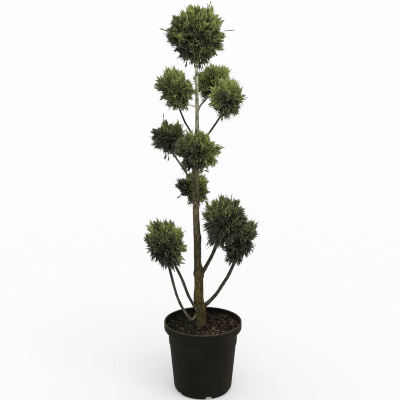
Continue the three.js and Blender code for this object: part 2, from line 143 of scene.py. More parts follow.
# Boughs: the height at which each leaves the trunk's axis, its bends and tip, and its diameters at
# the trunk and at the tip.
BOUGHS = {
    "bough_lower_left_outer": (
        0.322,
        [(-0.024, 0.006, 0.309), (-0.042, 0.001, 0.291), (-0.054, 0.0, 0.300), (-0.080, 0.0, 0.339),
         (-0.102, -0.001, 0.392), (-0.118, -0.005, 0.455), (-0.134, -0.008, 0.525)],
        (0.0098, 0.0106),
    ),
    "bough_lower_left_inner": (
        0.318,
        [(-0.022, -0.007, 0.331), (-0.034, -0.008, 0.351), (-0.055, -0.003, 0.388), (-0.081, -0.005, 0.459),
         (-0.109, -0.008, 0.522)],
        (0.0116, 0.0106),
    ),
    "bough_lower_right_back": (
        0.334,
        [(0.022, 0.015, 0.358), (0.052, 0.026, 0.387), (0.077, 0.040, 0.421), (0.100, 0.052, 0.455),
         (0.125, 0.067, 0.506)],
        (0.0140, 0.0128),
    ),
    "bough_lower_right_front": (
        0.458,
        [(-0.001, 0.004, 0.486), (0.021, -0.005, 0.529), (0.039, -0.013, 0.569), (0.054, -0.021, 0.612)],
        (0.0144, 0.0136),
    ),
    "bough_middle_back": (0.668, [(-0.027, 0.032, 0.700), (-0.036, 0.066, 0.748)], (0.0095, 0.0075)),
    "bough_middle_front": (
        0.740,
        [(-0.020, -0.002, 0.780), (-0.019, -0.014, 0.831), (-0.023, -0.032, 0.884),
         (-0.024, -0.054, 0.920)],
        (0.0085, 0.0065),
    ),
    "bough_middle_left": (
        0.842,
        [(-0.054, 0.017, 0.863), (-0.086, 0.031, 0.907), (-0.118, 0.043, 0.952)],
        (0.0080, 0.0065),
    ),
    "bough_upper_left": (
        0.984,
        [(-0.046, 0.004, 1.035), (-0.068, 0.0, 1.074), (-0.090, -0.005, 1.130)],
        (0.0075, 0.0062),
    ),
    "bough_upper_right_front": (
        0.958,
        [(0.007, -0.004, 1.010), (0.037, -0.018, 1.055), (0.069, -0.031, 1.106)],
        (0.0080, 0.0068),
    ),
    "bough_upper_right_back": (1.104, [(-0.012, 0.016, 1.128), (0.028, 0.042, 1.170)], (0.0075, 0.0060)),
    "twig_upper_left": (1.176, [(-0.034, 0.005, 1.182), (-0.045, 0.002, 1.184)], (0.0065, 0.0050)),
}

# The skin of the limbs: the gap between its rings, how many sides it has on each kind of limb, how much a
# bough swells at the trunk, and how uneven it is.
LIMB = Settings(gap=0.0021, trunk_sides=44, bough_sides=18, spur_sides=8, swell=0.35, uneven=0.05)

# Pompons: each one's centre, its half-width, half-depth and half-height, how far its axis leans to the
# right and to the back in degrees, the share by which it is narrower towards its stem, its light: steps of
# painted light and shade that make its greens lighter or darker overall, on its left and on its right, and
# the share of its tufts that are fresh. Bumps are the uneven places round its edge as seen from the front:
# an angle from the right and up, how far it stands out, and how wide it spreads. A ball is carried by the
# bough of its own name unless stems says otherwise, and the balls' order sets their lumps.
POMPONS = {
    "pompon_top": dict(
        stems=["trunk"], centre=(-0.024, 0.0, 1.382), half=(0.101, 0.099, 0.114),
        lean=(-9, 0), taper=0.36, light=(0.5, -0.5, 0.2), fresh=0.18,
        bumps=[(20, -0.007, 9), (40, 0.003, 8), (65, 0.013, 10), (117, -0.010, 10),
               (138, 0.008, 9), (168, 0.011, 11), (191, -0.006, 12), (250, -0.010, 15),
               (290, -0.016, 13), (325, -0.009, 10), (341, 0.008, 14)],
    ),
    "pompon_upper_left": dict(
        centre=(-0.096, -0.010, 1.195), half=(0.061, 0.061, 0.078),
        lean=(-34, 0), taper=0.02, light=(0.8, 0.0, 0.0), fresh=0.10,
        bumps=[(30, -0.008, 14), (50, -0.008, 12), (165, 0.017, 12), (194, -0.009, 9),
               (225, -0.009, 9), (262, 0.011, 16), (298, 0.014, 8), (315, -0.017, 8),
               (342, -0.009, 9)],
    ),
    "pompon_upper_right_back": dict(
        centre=(0.033, 0.078, 1.213), half=(0.066, 0.057, 0.068),
        lean=(17, 12), taper=0.15, light=(1.1, 1.6, 0.0), fresh=0.0,
        bumps=[(48, 0.008, 14), (76, 0.003, 9), (98, -0.011, 10), (122, -0.011, 18),
               (178, -0.006, 9), (220, 0.004, 10)],
    ),
    "pompon_upper_right_front": dict(
        centre=(0.088, -0.045, 1.165), half=(0.061, 0.061, 0.069),
        lean=(6, -5), taper=0.21, light=(0.6, 1.1, 0.4), fresh=0.24,
        bumps=[(18, -0.007, 15), (47, 0.008, 12), (82, 0.007, 9), (187, -0.011, 9),
               (208, 0.007, 8), (238, -0.010, 9), (254, 0.011, 12), (318, 0.006, 14),
               (347, -0.004, 9)],
    ),
    "pompon_middle_left": dict(
        centre=(-0.124, 0.050, 1.004), half=(0.067, 0.057, 0.062),
        lean=(0, 6), taper=0.24, light=(-1.0, 0.2, 0.2), fresh=0.15,
        bumps=[(15, -0.019, 14), (64, 0.004, 9), (90, -0.006, 9), (113, 0.017, 11),
               (150, 0.008, 10), (207, 0.003, 9), (248, 0.012, 9)],
    ),
    "pompon_middle_front": dict(
        centre=(-0.025, -0.088, 0.977), half=(0.079, 0.075, 0.075),
        lean=(0, -8), taper=0.25, light=(-0.3, -0.3, 1.3), fresh=0.15,
        bumps=[(5, 0.008, 20), (40, -0.008, 9), (60, 0.006, 11), (92, -0.009, 20), (128, 0.003, 9),
               (200, -0.010, 13), (244, 0.010, 9), (290, 0.009, 9), (324, 0.007, 10)],
    ),
    "pompon_middle_back": dict(
        centre=(-0.035, 0.092, 0.799), half=(0.059, 0.060, 0.070),
        lean=(-24, 8), taper=0.34, light=(-0.15, -1.0, 1.6), fresh=0.12,
        bumps=[(2, -0.012, 14), (28, 0.013, 9), (122, -0.008, 10), (150, 0.009, 14),
               (167, 0.010, 9), (187, -0.007, 8), (225, -0.015, 13), (251, 0.011, 9),
               (332, 0.005, 9)],
    ),
    "pompon_lower_right_front": dict(
        centre=(0.079, -0.032, 0.698), half=(0.083, 0.072, 0.098),
        lean=(16, -5), taper=0.3, light=(-1.25, 1.3, 0.0), fresh=0.14,
        bumps=[(14, 0.004, 9), (40, -0.005, 13), (70, 0.020, 10), (114, 0.005, 9), (136, 0.006, 9),
               (183, -0.016, 20), (236, 0.017, 9)],
    ),
    "pompon_lower_right_back": dict(
        centre=(0.145, 0.092, 0.586), half=(0.058, 0.060, 0.094),
        lean=(20, 8), taper=0.14, light=(-1.3, 0.0, -0.8), fresh=0.12,
        bumps=[(4, -0.020, 9), (36, 0.016, 10), (60, -0.003, 9), (216, 0.004, 9), (262, 0.012, 16),
               (304, -0.008, 10), (328, -0.004, 9)],
    ),
    "pompon_lower_left": dict(
        stems=["bough_lower_left_outer", "bough_lower_left_inner"],
        centre=(-0.142, -0.010, 0.601), half=(0.073, 0.072, 0.099),
        lean=(-24, 0), taper=0.25, light=(-1.25, 1.0, 1.5), fresh=0.15,
        bumps=[(12, -0.010, 10), (79, 0.008, 11), (134, 0.004, 13), (165, 0.008, 10),
               (206, -0.006, 10), (249, -0.007, 9), (290, 0.008, 9), (318, -0.005, 15),
               (352, 0.009, 9)],
    ),
}
LUMP_SHARE = 0.04
PHASE_STEP = 1.7

# Loose shoots that stand clear of the balls: where each is rooted and where it ends, and how wide it is.
SHOOTS = {
    "pompon_top": [
        ((0.060, 0.0, 1.402), (0.118, -0.004, 1.407), 0.006),
        ((0.018, 0.0, 1.478), (0.029, -0.002, 1.512), 0.005),
        ((0.052, 0.010, 1.425), (0.078, 0.010, 1.443), 0.010),
        ((-0.110, 0.0, 1.396), (-0.160, 0.002, 1.413), 0.009),
        ((-0.058, -0.004, 1.300), (-0.064, -0.006, 1.272), 0.012),
    ],
    "pompon_upper_left": [
        ((-0.140, -0.008, 1.206), (-0.178, -0.010, 1.216), 0.012),
        ((-0.070, -0.010, 1.142), (-0.022, -0.012, 1.130), 0.006),
    ],
    "pompon_middle_left": [
        ((-0.150, 0.050, 1.060), (-0.149, 0.048, 1.101), 0.006),
        ((-0.138, 0.046, 0.952), (-0.146, 0.044, 0.922), 0.014),
        ((-0.128, 0.044, 0.940), (-0.133, 0.042, 0.916), 0.010),
    ],
    "pompon_middle_front": [
        ((-0.004, -0.090, 0.912), (0.022, -0.096, 0.903), 0.010),
    ],
    "pompon_middle_back": [
        ((-0.076, 0.080, 0.780), (-0.103, 0.078, 0.762), 0.010),
        ((0.000, 0.076, 0.752), (0.020, 0.070, 0.744), 0.009),
    ],
    "pompon_lower_left": [
        ((-0.120, -0.010, 0.532), (-0.066, -0.012, 0.527), 0.012),
        ((-0.205, -0.010, 0.620), (-0.228, -0.010, 0.617), 0.012),
        ((-0.205, -0.010, 0.664), (-0.218, -0.010, 0.679), 0.010),
    ],
}

# Growth of the balls. Twigs spread from the stem, and each carries a tuft of feathery fronds that fan out
# to the clipped outline. Tufts and fronds are counted on a square metre of outline, and leaders on a tuft.
# Depths and rises are from the outline, and jitters say how unevenly things are spread. Upright is how far
# a frond's root sinks as a share of its length. Cross is the share of fronds that grow from the nearest
# tuft, and from the nearest two; others grow from the third.
GROWTH = Settings(
    tufts=1500, tuft_jitter=0.10, tuft_rise=(-0.006, 0.015), fronds=28500, frond_jitter=0.05, dome=0.020,
    ragged=0.0030, inner_share=0.22, inner_rise=(-0.022, -0.008), leaders=1.4, leader_jitter=0.09,
    leader_rise=(0.0, 0.010), depth=0.034, root_jitter=0.003, upright=0.28, cross=(0.55, 0.85),
    frond_width=0.022, leader_width=0.0121, frond_kinds=8, branchlets=5, dry_share=0.006, heart=0.56,
    clear_of_limbs=0.004, clear_of_balls=1.02, box_margin=0.009,
)

# Wood inside a ball: the radius at which its stem ends, the radii of a twig at its root and at its tip,
# how far the twig sags as a share of its length, and how deep under the outline it ends.
TWIG = Settings(stem_end=0.0015, root=0.0019, tip=0.0005, sag=0.12, depth=0.012)

# Greens of the foliage, lighter and darker steps of one green that carry painted light and shade, from
# the shade inside a ball to the clipped tips, then a bluish one for some tufts, a fresher one for others,
# and a dry one.
GREENS = [
    (0.0130, 0.0150, 0.0075),
    (0.0275, 0.0325, 0.0165),
    (0.0500, 0.0590, 0.0280),
    (0.0870, 0.1020, 0.0430),
    (0.1400, 0.1640, 0.0520),
    (0.2250, 0.2600, 0.0680),
    (0.3450, 0.3830, 0.1150),
]
BLUE_GREEN = (0.0600, 0.0780, 0.0480)
FRESH_GREEN = (0.1240, 0.1480, 0.0390)
DRY = (0.1400, 0.1000, 0.0500)

# How light a frond is, in steps of the greens: in the middle of its ball; more on top and with how much it
# rises, as painted light from above; from tuft to tuft, by chance and for bright tips; less inside, as
# painted shade; and more along the frond from a share of its length, partly the lighter colour of the
# clipped tips and partly painted shade deeper in the ball.
TONE = Settings(
    middle=2.2, top=1.25, rising=0.8, tuft=0.6, uneven=0.5, bright=0.6, brightest=1.8, inner=1.5,
    along=3.2, along_from=0.62, loose=3.4, loose_along=1.5, loose_from=0.6,
)

# The share of tufts that are bluish, how much fresher tufts are along each axis, and how many steps of
# painted light make tufts lighter along each axis.
BLUE_SHARE = 0.14
FRESHER_SIDE = (0.10, 0.0, 0.25)
PAINTED_SIDE_LIGHT = (0.45, 0.0, 0.0)

# Bark: its cracks, its colours from the trunk's foot to its tip, other barks over the same heights, and
# the boughs that aren't dark.
CRACK = (0.020, 0.014, 0.008)
TRUNK_STOPS = [
    (0.0, (0.036, 0.032, 0.020)),
    (0.022, (0.058, 0.047, 0.014)),
    (0.12, (0.070, 0.058, 0.015)),
    (0.30, (0.060, 0.052, 0.025)),
    (0.44, (0.150, 0.130, 0.074)),
    (0.53, (0.082, 0.074, 0.036)),
    (0.66, (0.160, 0.153, 0.096)),
    # The palest stops, near the tip, are partly painted light that offsets the top ball's shadow on the
    # trunk.
    (0.78, (0.345, 0.343, 0.222)),
    (0.89, (0.580, 0.570, 0.400)),
    (1.0, (0.780, 0.765, 0.570)),
]
BOUGH_STOPS = {
    "dark": [(0.0, (0.058, 0.054, 0.037)), (0.3, (0.038, 0.035, 0.023)), (1.0, (0.034, 0.031, 0.021))],
    "pale": [(0.0, (0.150, 0.146, 0.110)), (0.10, (0.075, 0.071, 0.049)), (0.25, (0.040, 0.037, 0.026)),
             (0.55, (0.060, 0.056, 0.038)), (0.80, (0.240, 0.235, 0.178)), (1.0, (0.300, 0.295, 0.228))],
    "olive": [(0.0, (0.110, 0.112, 0.062)), (1.0, (0.150, 0.155, 0.090))],
    "tan": [(0.0, (0.105, 0.090, 0.050)), (0.6, (0.130, 0.118, 0.070)), (1.0, (0.150, 0.138, 0.085))],
}
BOUGH_BARKS = {
    "bough_lower_left_outer": "pale",
    "bough_middle_front": "tan",
    "bough_middle_left": "olive",
    "bough_upper_right_back": "pale",
    "twig_upper_left": "pale",
}

# Bark chips, five from dark to pale and then two greenish ones.
CHIP_COLORS = [
    (0.0055, 0.0038, 0.0020),
    (0.0125, 0.0080, 0.0045),
    (0.0270, 0.0160, 0.0088),
    (0.0600, 0.0420, 0.0260),
    (0.1900, 0.1460, 0.1000),
    (0.0080, 0.0092, 0.0042),
    (0.0240, 0.0265, 0.0125),
]

# Floor: half its width, its grey and how much it glows. Light: how strong the sky is at the horizon and
# overhead, and how strong the broad light is, its spread in degrees and where it comes from.
FLOOR = Settings(half=120.0, grey=0.463, glow=0.28)
LIGHT = Settings(horizon=1.0, overhead=1.25, broad=1.25, spread=45, source=(0.25, -0.55, 1.0))

# A box of one unit round the origin, as corners and triangles.
BOX = np.array(list(product((-0.5, 0.5), repeat=3)))
BOX_FACES = np.array([
    (0, 1, 3), (0, 3, 2), (4, 6, 7), (4, 7, 5), (0, 4, 5), (0, 5, 1),
    (2, 3, 7), (2, 7, 6), (0, 2, 6), (0, 6, 4), (1, 5, 7), (1, 7, 3),
])


def length(vectors):
    return np.linalg.norm(vectors, axis=-1)


def unit(vectors):
    """Vectors of length one, along the last axis."""
    return vectors / np.maximum(length(vectors)[..., None], 1e-12)


def columns(*parts):
    """Parts side by side, each an array or one number."""
    return np.stack(np.broadcast_arrays(*parts), axis=-1)


def round_angles(sides):
    return np.arange(sides) * 2 * math.pi / sides


def round_points(radius, angle, height):
    """Points round the vertical axis."""
    return columns(radius * np.cos(angle), radius * np.sin(angle), height)


def smooth_step(low, high, value):
    """A share that eases from 0 at low to 1 at high."""
    share = np.clip((value - low) / (high - low), 0, 1)
    return share * share * (3 - 2 * share)


def field(points, size, octaves=2, seed=0.0):
    """Fractal noise at points, about -1 to 1; size is the width of its lumps along each axis."""
    scaled = np.asarray(points) / np.asarray(size) + seed
    values = [noise.fractal(Vector(place), 0.8, 2.1, octaves) for place in scaled.reshape(-1, 3)]
    return np.reshape(values, scaled.shape[:-1])


def place_object(name, data):
    """A new object in the scene."""
    made = bpy.data.objects.new(name, data)
    scene.collection.objects.link(made)
    return made


class Shapes:
    """Small closed shapes of triangles, gathered and joined into one mesh object."""

    def __init__(self):
        self.points, self.faces, self.slots, self.count = [], [], [], 0
        self.layers = {}

    def add(self, points, faces, slots=0, **layers):
        """points (n, 3), faces (m, 3); slots is one material slot or one for each face."""
        self.points.append(points)
        self.faces.append(faces + self.count)
        self.slots.append(np.broadcast_to(slots, len(faces)))
        for name, values in layers.items():
            self.layers.setdefault(name, []).append(values)
        self.count += len(points)
        return self

    def build(self, name, materials, smooth):
        """The mesh object, with its materials and layers."""
        mesh = bpy.data.meshes.new(name)
        mesh.from_pydata(np.vstack(self.points).tolist(), [], np.vstack(self.faces).tolist())
        slots = np.concatenate(self.slots).astype(np.int32)
        mesh.polygons.foreach_set("material_index", slots)
        mesh.polygons.foreach_set("use_smooth", np.full(len(slots), smooth))
        for layer, values in self.layers.items():
            joined = np.concatenate(values).astype(np.float32)
            kind, slot = ("FLOAT", "value") if joined.ndim == 1 else ("FLOAT_VECTOR", "vector")
            mesh.attributes.new(layer, kind, "POINT").data.foreach_set(slot, joined.ravel())
        mesh.validate()
        for material in materials:
            mesh.materials.append(material)
        return place_object(name, mesh)


def copies(points, faces, axes, roots):
    """Copies of a small shape, each stretched and turned by its three axes, at its root."""
    placed = np.einsum("vi,nij->nvj", points, axes) + roots[:, None]
    joined = faces[None] + (np.arange(len(roots)) * len(points))[:, None, None]
    return placed.reshape(-1, 3), joined.reshape(-1, 3)


def keep(piece, node_name):
    """Every piece rides on the one body and stands for its solid, which it hides."""
    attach(piece, "root")
    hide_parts(node_name)


# Curves and limbs


def run_along(path):
    """How far along a path each of its points lies."""
    return np.append(0, np.cumsum(length(np.diff(path, axis=0))))


def spline(points, spacing):
    """Points at an even spacing along a centripetal Catmull-Rom curve."""
    p = np.array(points, float)
    p = np.vstack([2 * p[0] - p[1], p, 2 * p[-1] - p[-2]])
    share = np.linspace(0, 1, 60, endpoint=False)[:, None]
    fine = []
    for a, b, c, d in zip(p, p[1:], p[2:], p[3:]):
        t0, t1, t2 = (math.sqrt(length(v)) for v in (b - a, c - b, d - c))
        into = ((b - a) / t0 - (c - a) / (t0 + t1) + (c - b) / t1) * t1
        out = ((c - b) / t1 - (d - b) / (t1 + t2) + (d - c) / t2) * t1
        square, cube = 3 * (c - b) - 2 * into - out, 2 * (b - c) + into + out
        fine.append(b + into * share + square * share**2 + cube * share**3)
    fine = np.vstack([*fine, p[-2]])
    along = run_along(fine)
    at = np.linspace(0, along[-1], max(2, round(along[-1] / spacing) + 1))
    return columns(*(np.interp(at, along, part) for part in fine.T))


TRUNK_LINE = spline([(x, y, z) for z, x, y, _ in TRUNK], 0.002)


def trunk_at(height):
    """The trunk's axis and its radius at one or more heights."""
    x, y = (np.interp(height, TRUNK_LINE[:, 2], part) for part in TRUNK_LINE.T[:2])
    radius = np.interp(height, [row[0] for row in TRUNK], [row[3] / 2 for row in TRUNK])
    return columns(x, y, height), radius


def bough_path(name, spacing):
    """A bough's line, from the trunk's axis to its tip."""
    height, bends, _ = BOUGHS[name]
    return spline([trunk_at(height)[0], *bends], spacing)


def rings_round(path, sides):
    """Angles round a path, and the way outward at each of them from each of its points."""
    along = unit(np.gradient(path, axis=0))
    across = np.zeros_like(path)
    side = np.cross(along[0], (0.0, 1.0, 0.0) if abs(along[0][1]) < 0.9 else (1.0, 0.0, 0.0))
    for i, direction in enumerate(along):
        side = unit(side - direction * side.dot(direction))
        across[i] = side
    up = np.cross(along, across)
    angle = round_angles(sides)
    return angle, across[:, None] * np.cos(angle)[:, None] + up[:, None] * np.sin(angle)[:, None]


def skin(rings, foot, top):
    """Points and triangles of a closed skin: its rings, and a fan on a middle point at either end."""
    count, sides = rings.shape[:2]
    i = np.arange(sides)
    j = (i + 1) % sides
    base = np.arange(count - 1)[:, None] * sides
    a, b = base + i, base + j
    wall = columns(a, b, b + sides, a, b + sides, a + sides).reshape(-1, 3)
    last = (count - 1) * sides
    low = columns(count * sides, j, i)
    high = columns(count * sides + 1, last + i, last + j)
    return np.vstack([rings.reshape(-1, 3), [foot, top]]), np.vstack([wall, low, high])


def tube(path, radii, sides):
    """A round tube along a path."""
    _, outward = rings_round(path, sides)
    return skin(path[:, None] + outward * radii[:, None, None], path[0], path[-1])


def bark_relief(grain, radius, seed):
    """How far the bark stands out, and how deep its cracks are, on a limb of a radius.

    grain is the place on the unrolled limb: two parts across and one along."""
    share = np.clip(radius / 0.018, 0.22, 1.0)
    cracks = 1 - np.abs(field(grain, (0.0042, 0.0042, 0.034), 2, seed))
    cracks = smooth_step(0.70, 0.98, cracks)
    plates = field(grain, (0.011, 0.011, 0.050), 2, seed + 7)
    fibres = field(grain, (0.0016, 0.0016, 0.016), 1, seed + 13)
    rise = share * (0.0004 + 0.0008 * plates - 0.0010 * cracks + 0.00022 * fibres)
    return rise, cracks


def add_limb(shapes, path, radii, sides, seed, swell=None):
    """Add a limb with bark relief, and the layers that its material reads."""
    angle, outward = rings_round(path, sides)
    wide = radii[:, None] * np.ones(sides)
    grain = round_points(wide, angle, run_along(path)[:, None])
    rise, dark = bark_relief(grain, wide, seed)
    if swell is not None:
        extra, pit = swell(path, outward)
        rise, dark = rise + extra, np.maximum(dark, pit)
    rings = path[:, None] + outward * (wide + rise)[..., None]
    grain = np.vstack([grain.reshape(-1, 3), grain[0].mean(0), grain[-1].mean(0)])
    dark = np.append(dark.ravel(), [0.5, 0.5])
    shapes.add(*skin(rings, path[0], path[-1]), grain=grain, crack=dark)


# Pompons


class Ball:
    """One pompon: its own frame, its clipped outline, and the limbs that carry it."""

    def __init__(self, number, name, centre, half, lean, taper, light, fresh, bumps, stems=None):
        # light is the ball's steps of painted light and shade: overall, on its left and on its right.
        self.name, self.taper, self.light, self.fresh, self.bumps = name, taper, light, fresh, bumps
        self.stems = stems or [name.replace("pompon", "bough")]
        self.centre, self.half, self.phase = np.array(centre), np.array(half), PHASE_STEP * number
        right, back = (math.radians(angle) for angle in lean)
        cos, sin = math.cos(right), math.sin(right)
        over = np.array([[cos, 0, sin], [0, 1, 0], [-sin, 0, cos]])
        cos, sin = math.cos(back), math.sin(back)
        self.turn = over @ np.array([[1, 0, 0], [0, cos, sin], [0, -sin, cos]])
        self.random = np.random.default_rng(101 + number)
        # The area of an ellipsoid, to about one hundredth.
        a, b, c = self.half**1.6
        self.area = 4 * math.pi * ((a * b + a * c + b * c) / 3) ** (1 / 1.6)

    def bump_at(self, facing):
        """How far bumps lift the outline where it faces a direction: ridges that fade to front and back."""
        angle = np.degrees(np.arctan2(facing[:, 2], facing[:, 0]))
        fade = (1 - facing[:, 1] ** 2) ** 2
        rise = np.zeros(len(facing))
        for middle, height, spread in self.bumps:
            away = (angle - middle + 180) % 360 - 180
            rise += height * fade * np.exp(-((away / spread) ** 2))
        return rise

    def outline(self, directions):
        """Points of the outline in the ball's own frame: an uneven ellipsoid, narrower towards its stem."""
        x, y, z = directions.T
        p = self.phase
        lump = np.sin(3 * x + p) * np.cos(4 * y - p) + np.sin(5 * z + 2 * p + 2 * x)
        narrow = 1 - self.taper * np.maximum(0, -z) ** 1.4
        shape = columns(x * narrow, y * narrow, z) * self.half
        shape *= (1 + LUMP_SHARE * lump * np.abs(y))[:, None]
        return shape + shape / length(shape)[:, None] * self.bump_at(unit(shape @ self.turn.T))[:, None]

    def world(self, own):
        return own @ self.turn.T + self.centre

    def holds(self, points, grow):
        """True where a point lies inside the outline, grown by a share."""
        own = (points - self.centre) @ self.turn
        return length(own) < length(self.outline(unit(own))) * grow

    def spread(self, count, jitter):
        """Directions spread evenly over a ball, then jittered."""
        z = 1 - (2 * np.arange(count) + 1) / count
        angle = math.pi * (3 - math.sqrt(5)) * np.arange(count)
        even = round_points(np.sqrt(1 - z * z), angle, z)
        return unit(even + self.random.normal(0, jitter, even.shape))


def leaflet(start, end, width, thickness, sideways, outward):
    """A slim closed leafy shoot from start to end, of four faces, widest past its middle."""
    middle = start + (end - start) * 0.7
    side, up = sideways * width / 2, outward * thickness / 2
    points = np.array([start + up, middle + side - up, middle - side - up, end + up])
    return points, np.array([[0, 1, 2], [3, 2, 1], [0, 3, 1], [0, 2, 3]])


def frond(branchlets, random):
    """A feathery spray along +Z, one unit long: an axis with alternate scale-leaved shoots that point
    forward. Gives points, faces and how far along the spray each face lies."""
    bend = random.uniform(0.0, 0.35)
    out = np.array([0.0, 1.0, 0.0])

    def on_axis(share):
        return np.array([0.0, bend * share * share, share])

    shapes, shares = Shapes(), [0.6]
    shapes.add(*leaflet(on_axis(0.0), on_axis(1.0), 0.12, 0.08, np.array([1.0, 0, 0]), out))
    for k in range(branchlets):
        share = 0.10 + 0.56 * k / (branchlets - 1)
        side = 1 if k % 2 else -1
        angle = math.radians(22 - 10 * share + random.uniform(-5, 5))
        reach = 0.44 * random.uniform(0.75, 1.25)
        way = unit(np.array([side * math.sin(angle), random.uniform(-0.3, 0.3), math.cos(angle)]))
        root = on_axis(share - 0.03)
        across = unit(np.cross(way, out))
        shapes.add(*leaflet(root, root + way * reach, 0.175, 0.085, across, out))
        shares.append(share + 0.5 * reach)
    points = np.vstack(shapes.points)
    points[:, 2] /= points[:, 2].max()
    return points, np.vstack(shapes.faces), np.repeat(np.minimum(shares, 1.0), 4)


def limb_lines():
    """Coarse centre lines and radii of the trunk and the boughs."""
    lines = {"trunk": trunk_at(np.arange(TRUNK[0][0], TRUNK[-1][0], 0.008))}
    for name, (_, _, (at_trunk, at_tip)) in BOUGHS.items():
        path = bough_path(name, 0.006)
        lines[name] = path, np.linspace(at_trunk / 2, at_tip / 2, len(path))
    return lines


LINES = limb_lines()
BALLS = [Ball(number, name, **plan) for number, (name, plan) in enumerate(POMPONS.items())]


def distance_to_limbs(points):
    """The least clearance between points and the limbs, worked out for some of the points at a time."""
    least = np.full(len(points), np.inf)
    for path, radii in LINES.values():
        for start in range(0, len(points), 4000):
            part = slice(start, start + 4000)
            away = length(points[part, None] - path) - radii
            least[part] = np.minimum(least[part], away.min(axis=1))
    return least


def twigs(ball, tufts):
    """The stem and the twigs of a ball, each twig bowed from the stem out to its tuft."""
    shapes = Shapes()
    core = ball.centre + ball.turn @ np.array([0, 0, 0.25 * ball.half[2]])
    stems = []
    for name in ball.stems:
        start, radius = (ends[-1] for ends in LINES[name])
        lead = start - unit(core - start) * 0.008
        middle = (start + core) / 2 + ball.random.normal(0, 0.003, 3)
        path = spline([lead, middle, core], 0.008)
        shapes.add(*tube(path, np.linspace(radius * 0.97, TWIG.stem_end, len(path)), 7))
        stems.append(path)
    reach = ball.outline(tufts)
    ends = ball.world(reach - unit(reach) * TWIG.depth)
    for direction, end in zip(tufts, ends):
        stem = stems[ball.random.integers(len(stems))]
        low = np.clip(0.5 + 0.42 * direction[2] + ball.random.uniform(-0.1, 0.1), 0.08, 0.95)
        root = stem[int(low * (len(stem) - 1))]
        span = length(end - root)
        middle = root + (end - root) * 0.5 - np.array([0, 0, TWIG.sag]) * span
        path = spline([root, middle, end], span / 5)
        shapes.add(*tube(path, np.linspace(TWIG.root, TWIG.tip, len(path)), 4))
    return shapes


def plan_fronds(ball, tufts, rises):
    """The fronds that fan out from each tuft: directions, tufts, rises from the outline, and which of them
    are short ones inside."""
    random = ball.random
    directions = ball.spread(int(GROWTH.fronds * ball.area), GROWTH.frond_jitter)
    low = smooth_step(0.45, 0.95, -directions[:, 2])
    directions = directions[random.random(len(directions)) > 0.5 * low]
    nearness = directions @ tufts.T
    nearest = np.argsort(-nearness, axis=1)[:, :3]
    rank = np.searchsorted(GROWTH.cross, random.random(len(directions)))
    tuft = nearest[np.arange(len(directions)), rank]
    away = np.arccos(np.clip(nearness.max(axis=1), -1, 1)) / math.sqrt(4 / len(tufts))
    rise = rises[nearest[:, 0]] - GROWTH.dome * np.minimum(away, 1.4) ** 2
    rise += random.normal(0, GROWTH.ragged, len(rise))
    inner = random.random(len(rise)) < GROWTH.inner_share
    rise[inner] = random.uniform(*GROWTH.inner_rise, inner.sum())
    return directions, tuft, rise, inner


def plan_leaders(ball, tufts, rises):
    """The shoots that stand out of the middle of each tuft."""
    random = ball.random
    tuft = np.repeat(np.arange(len(tufts)), 2)[random.random(2 * len(tufts)) < GROWTH.leaders / 2]
    directions = unit(tufts[tuft] + random.normal(0, GROWTH.leader_jitter, (len(tuft), 3)))
    rise = rises[tuft] + random.uniform(*GROWTH.leader_rise, len(tuft))
    return directions, tuft, rise, np.zeros(len(tuft), bool)


def clear_fronds(ball, roots, tips):
    """True for each frond that is clear of the limbs, near the part's box and outside the other balls."""
    bodies = roots + (tips - roots) * 0.7
    kept = distance_to_limbs(np.vstack([tips, bodies])).reshape(2, -1).min(axis=0) > GROWTH.clear_of_limbs
    low, high = np.array(CAD_BOX)
    kept &= ((tips > low - GROWTH.box_margin) & (tips < high + GROWTH.box_margin)).all(axis=1)
    for other in BALLS:
        if other is not ball:
            kept &= ~other.holds(tips, GROWTH.clear_of_balls)
    return kept


def green_slots(level):
    """The greens for fronds, from how light they are, painted light and shade included."""
    return np.clip(np.round(level), 0, len(GREENS) - 1).astype(int)


def plant(ball, tufts, plan, width, templates, tuft_tone, tuft_kind):
    """Fronds of a plan, each from its tuft's twig out to its tip, gathered as shapes. A tuft's kind is a
    number: the lowest are bluish, the highest fresh."""
    random = ball.random
    directions, tuft, rise, inner = plan
    count = len(directions)
    reach = ball.outline(directions)
    tips = ball.world(reach + unit(reach) * rise[:, None])
    base = ball.outline(tufts)[tuft]
    far = length(base)[:, None]
    roots = ball.world(base * (1 - np.minimum(GROWTH.depth, 0.55 * far) / far))
    roots += random.normal(0, GROWTH.root_jitter, (count, 3))
    rising = unit(tips - ball.centre)[:, 2]
    roots[:, 2] -= length(tips - roots) * GROWTH.upright * np.clip(rising + 0.35, 0, 1.2)
    lengths = length(tips - roots)

    # Painted light from above: the ball's overall step of painted light and shade, lighter on top and the
    # more a frond rises.
    tone = TONE.middle + ball.light[0] + TONE.top * smooth_step(0.3, 0.9, rising) + TONE.rising * rising
    uneven = random.normal(0, TONE.uneven, count)
    bright = np.minimum(random.exponential(TONE.bright, count), TONE.brightest)
    # Tufts carry painted light by the side they face; fronds inside are darker as painted shade.
    tone += tuft_tone[tuft] + uneven + bright - TONE.inner * inner
    kind = random.integers(len(templates), size=count)
    along = unit(tips - roots)
    across = unit(np.cross(random.normal(0, 0.8, (count, 3)) + (0, 0, 1), along))
    out = np.cross(along, across)
    wide = np.minimum(lengths, width) * random.uniform(0.85, 1.15, count)
    axes = np.stack([across * wide[:, None], out * wide[:, None], along * lengths[:, None]], axis=1)
    dry = random.random(count) < GROWTH.dry_share
    kept = clear_fronds(ball, roots, tips)
    bluish, fresh, withered = len(GREENS) + np.arange(3)
    shapes = Shapes()
    for n, (points, faces, shares) in enumerate(templates):
        chosen = np.flatnonzero(kept & (kind == n))
        slots = green_slots(tone[chosen, None] + TONE.along * (shares[None] - TONE.along_from))
        kinds = tuft_kind[tuft[chosen], None]
        slots = np.where((kinds < BLUE_SHARE) & (slots >= 2) & (slots <= 4), bluish, slots)
        slots = np.where((kinds > 1 - ball.fresh) & (slots >= 3) & (slots <= 5), fresh, slots)
        slots = np.where(dry[chosen, None], withered, slots)
        shapes.add(*copies(points, faces, axes[chosen], roots[chosen]), slots.ravel())
    return shapes


